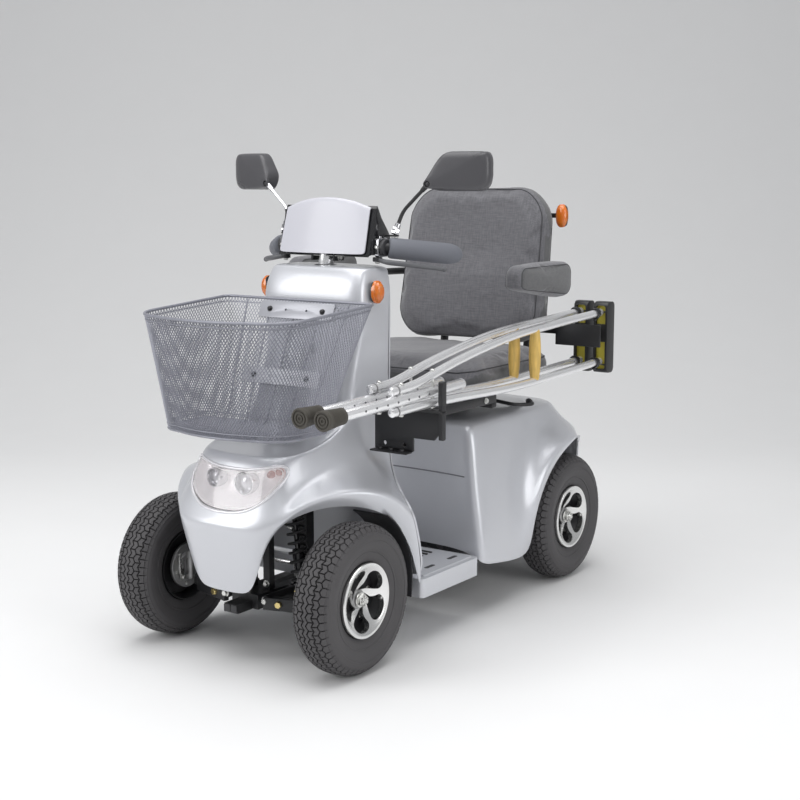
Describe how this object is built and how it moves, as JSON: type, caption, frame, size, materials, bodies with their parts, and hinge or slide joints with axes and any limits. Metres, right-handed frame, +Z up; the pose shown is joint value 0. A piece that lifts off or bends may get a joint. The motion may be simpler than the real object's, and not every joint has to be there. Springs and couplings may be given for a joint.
{
  "type": "mobility scooter",
  "caption": "Compact mobility scooter with sprung front wheels, steering column, swivel seat, mesh front basket and a pair of crutches carried in holders beside the seat.",
  "frame": {"origin": "on the ground, on the vehicle's centre plane, midway between the front and rear axles", "axes": "+Z up from the ground, -Y to the front of the vehicle, +X to the rider's left"},
  "size_m": [0.6756, 1.206, 1.01],
  "materials": {
    "silver_paint": "metallic silver lacquer on moulded plastic",
    "black_metal": "black powder coat",
    "black_plastic": "fine texture",
    "grey_plastic": "glossy light grey",
    "dark_grey_plastic": "satin",
    "grip_foam": "soft matt sleeve",
    "tyre_rubber": "matt with moulded tread",
    "cast_alloy": "clear-coated casting",
    "bright_tube": "polished",
    "basket_grey": "grey coated mesh",
    "seat_fabric": "woven charcoal",
    "lens_clear": "clear moulded lens",
    "lens_amber": "amber lens",
    "pad_vinyl": "soft vinyl"
  },
  "bodies": {
    "chassis": {"chassis_frame": "black_metal", "front_cowl": "silver_paint", "leg_shield": "silver_paint", "headlight_lens": "lens_clear", "headlight_reflector": "grey_plastic", "column_lamp_left": "lens_amber", "column_lamp_right": "lens_amber", "footboard": "silver_paint", "front_mudguard_left": "black_plastic", "front_mudguard_right": "black_plastic", "rear_cowl": "silver_paint", "battery_left": "dark_grey_plastic", "battery_right": "dark_grey_plastic", "drive_unit": "black_metal", "basket": "basket_grey", "basket_bracket": "black_metal", "seat_post": "bright_tube", "shock_left": "black_metal", "shock_right": "black_metal"},
    "steering": {"steering_stem": "bright_tube", "console_housing": "black_plastic", "console_visor": "grey_plastic", "handlebar": "black_metal", "grip_left": "grip_foam", "grip_right": "grip_foam"},
    "speed_control": {"speed_knob": "dark_grey_plastic"},
    "key": {"key_switch": "dark_grey_plastic"},
    "horn": {"horn_button": "grey_plastic"},
    "throttle": {"accelerator_lever": "black_plastic"},
    "brake": {"brake_lever": "black_metal"},
    "mirror_stalk_left": {"mirror_arm_left": "bright_tube"},
    "mirror_stalk_right": {"mirror_arm_right": "bright_tube"},
    "mirror_head_left": {"mirror_shell_left": "dark_grey_plastic"},
    "mirror_head_right": {"mirror_shell_right": "dark_grey_plastic"},
    "arm_left": {"lower_arm_left": "black_metal"},
    "arm_right": {"lower_arm_right": "black_metal"},
    "upright_left": {"knuckle_left": "cast_alloy"},
    "upright_right": {"knuckle_right": "cast_alloy"},
    "track_rod": {"tie_rod": "bright_tube"},
    "wheel_front_left": {"rim_front_left": "cast_alloy", "tyre_front_left": "tyre_rubber"},
    "wheel_front_right": {"rim_front_right": "cast_alloy", "tyre_front_right": "tyre_rubber"},
    "wheel_rear_left": {"rim_rear_left": "cast_alloy", "tyre_rear_left": "tyre_rubber"},
    "wheel_rear_right": {"rim_rear_right": "cast_alloy", "tyre_rear_right": "tyre_rubber"},
    "seat": {"seat_frame": "black_metal", "seat_cushion": "seat_fabric", "seat_back": "seat_fabric", "crutch_carrier": "black_metal", "rear_lamp_left": "lens_amber", "rear_lamp_right": "lens_amber"},
    "rest_left": {"armrest_left": "seat_fabric"},
    "rest_right": {"armrest_right": "seat_fabric"},
    "swivel_lever": {"seat_lever": "black_metal"},
    "stick_inner": {"crutch_inner": "bright_tube", "crutch_pad_inner": "pad_vinyl"},
    "stick_outer": {"crutch_outer": "bright_tube", "crutch_pad_outer": "pad_vinyl"}
  },
  "joints": [
    {"name": "steer", "type": "hinge", "parent": "chassis", "child": "steering", "pos_m": [0, -0.186, 0.826], "axis": [0, 0.1736, 0.9848], "range_deg": [-30, 30]},
    {"name": "speed_turn", "type": "hinge", "parent": "steering", "child": "speed_control", "pos_m": [0.045, -0.1415, 0.859], "axis": [0, 0.7779, 0.6283], "range_deg": [-120, 120]},
    {"name": "key_turn", "type": "hinge", "parent": "steering", "child": "key", "pos_m": [-0.045, -0.1415, 0.859], "axis": [0, 0.7779, 0.6283], "range_deg": [0, 90]},
    {"name": "horn_press", "type": "slide", "parent": "steering", "child": "horn", "axis": [0, -0.7779, -0.6283], "range_m": [0, 0.002], "stiffness_N_per_m": 250},
    {"name": "throttle_pull", "type": "hinge", "parent": "steering", "child": "throttle", "pos_m": [-0.121, -0.178, 0.791], "axis": [0, 0, -1], "range_deg": [0, 16], "stiffness_Nm_per_rad": 0.3, "springref_deg": -11.46},
    {"name": "brake_pull", "type": "hinge", "parent": "steering", "child": "brake", "pos_m": [0.121, -0.178, 0.791], "axis": [0, 0, 1], "range_deg": [0, 12], "stiffness_Nm_per_rad": 1.5, "springref_deg": -5.73},
    {"name": "mirror_stalk_left_turn", "type": "hinge", "parent": "steering", "child": "mirror_stalk_left", "pos_m": [0.145, -0.15, 0.845], "axis": [0.1546, 0.3917, 0.907], "range_deg": [-30, 30]},
    {"name": "mirror_stalk_right_turn", "type": "hinge", "parent": "steering", "child": "mirror_stalk_right", "pos_m": [-0.145, -0.15, 0.845], "axis": [-0.1546, 0.3917, 0.907], "range_deg": [-30, 30]},
    {"name": "mirror_head_left_tilt", "type": "hinge", "parent": "mirror_stalk_left", "child": "mirror_head_left", "pos_m": [0.212, -0.128, 0.944], "axis": [0, 0, 1], "range_deg": [-12, 12]},
    {"name": "mirror_head_right_tilt", "type": "hinge", "parent": "mirror_stalk_right", "child": "mirror_head_right", "pos_m": [-0.212, -0.128, 0.944], "axis": [0, 0, 1], "range_deg": [-12, 12]},
    {"name": "arm_left_lift", "type": "hinge", "parent": "chassis", "child": "arm_left", "pos_m": [0.052, -0.4205, 0.125], "axis": [0, -1, 0], "range_deg": [0, 5], "stiffness_Nm_per_rad": 450, "springref_deg": -6.88},
    {"name": "arm_right_lift", "type": "hinge", "parent": "chassis", "child": "arm_right", "pos_m": [-0.052, -0.4205, 0.125], "axis": [0, 1, 0], "range_deg": [0, 5], "stiffness_Nm_per_rad": 450, "springref_deg": -6.88},
    {"name": "upright_left_steer", "type": "hinge", "parent": "arm_left", "child": "upright_left", "pos_m": [0.192, -0.4205, 0.15], "axis": [0, 0, 1], "range_deg": [-20, 20]},
    {"name": "upright_right_steer", "type": "hinge", "parent": "arm_right", "child": "upright_right", "pos_m": [-0.192, -0.4205, 0.15], "axis": [0, 0, 1], "range_deg": [-20, 20]},
    {"name": "track_rod_shift", "type": "slide", "parent": "chassis", "child": "track_rod", "axis": [1, 0, 0], "range_m": [-0.024, 0.024]},
    {"name": "wheel_front_left_spin", "type": "hinge", "parent": "upright_left", "child": "wheel_front_left", "pos_m": [0.231, -0.4205, 0.15], "axis": [1, 0, 0], "continuous": true},
    {"name": "wheel_front_right_spin", "type": "hinge", "parent": "upright_right", "child": "wheel_front_right", "pos_m": [-0.231, -0.4205, 0.15], "axis": [1, 0, 0], "continuous": true},
    {"name": "wheel_rear_left_spin", "type": "hinge", "parent": "chassis", "child": "wheel_rear_left", "pos_m": [0.231, 0.4205, 0.15], "axis": [1, 0, 0], "continuous": true},
    {"name": "wheel_rear_right_spin", "type": "hinge", "parent": "chassis", "child": "wheel_rear_right", "pos_m": [-0.231, 0.4205, 0.15], "axis": [1, 0, 0], "continuous": true},
    {"name": "seat_swivel", "type": "hinge", "parent": "chassis", "child": "seat", "pos_m": [0, 0.225, 0.445], "axis": [0, 0, 1], "range_deg": [0, 90]},
    {"name": "armrest_left_lift", "type": "hinge", "parent": "seat", "child": "rest_left", "pos_m": [0.272, 0.262, 0.722], "axis": [-1, 0, 0], "range_deg": [0, 90]},
    {"name": "armrest_right_lift", "type": "hinge", "parent": "seat", "child": "rest_right", "pos_m": [-0.272, 0.262, 0.722], "axis": [-1, 0, 0], "range_deg": [0, 90]},
    {"name": "seat_lever_pull", "type": "hinge", "parent": "seat", "child": "swivel_lever", "pos_m": [0.158, 0.2, 0.456], "axis": [0, -1, 0], "range_deg": [0, 6], "stiffness_Nm_per_rad": 1, "springref_deg": -5.73},
    {"name": "crutch_inner_lift", "type": "slide", "parent": "seat", "child": "stick_inner", "axis": [0, 0, 1], "range_m": [0, 0.02]},
    {"name": "crutch_outer_lift", "type": "slide", "parent": "seat", "child": "stick_outer", "axis": [0, 0, 1], "range_m": [0, 0.02]}
  ],
  "couplings": [
    {"joint": "upright_left_steer", "follows": "steer", "ratio": 0.66},
    {"joint": "upright_right_steer", "follows": "steer", "ratio": 0.66},
    {"joint": "track_rod_shift", "follows": "steer", "m_per_rad": -0.0436}
  ]
}
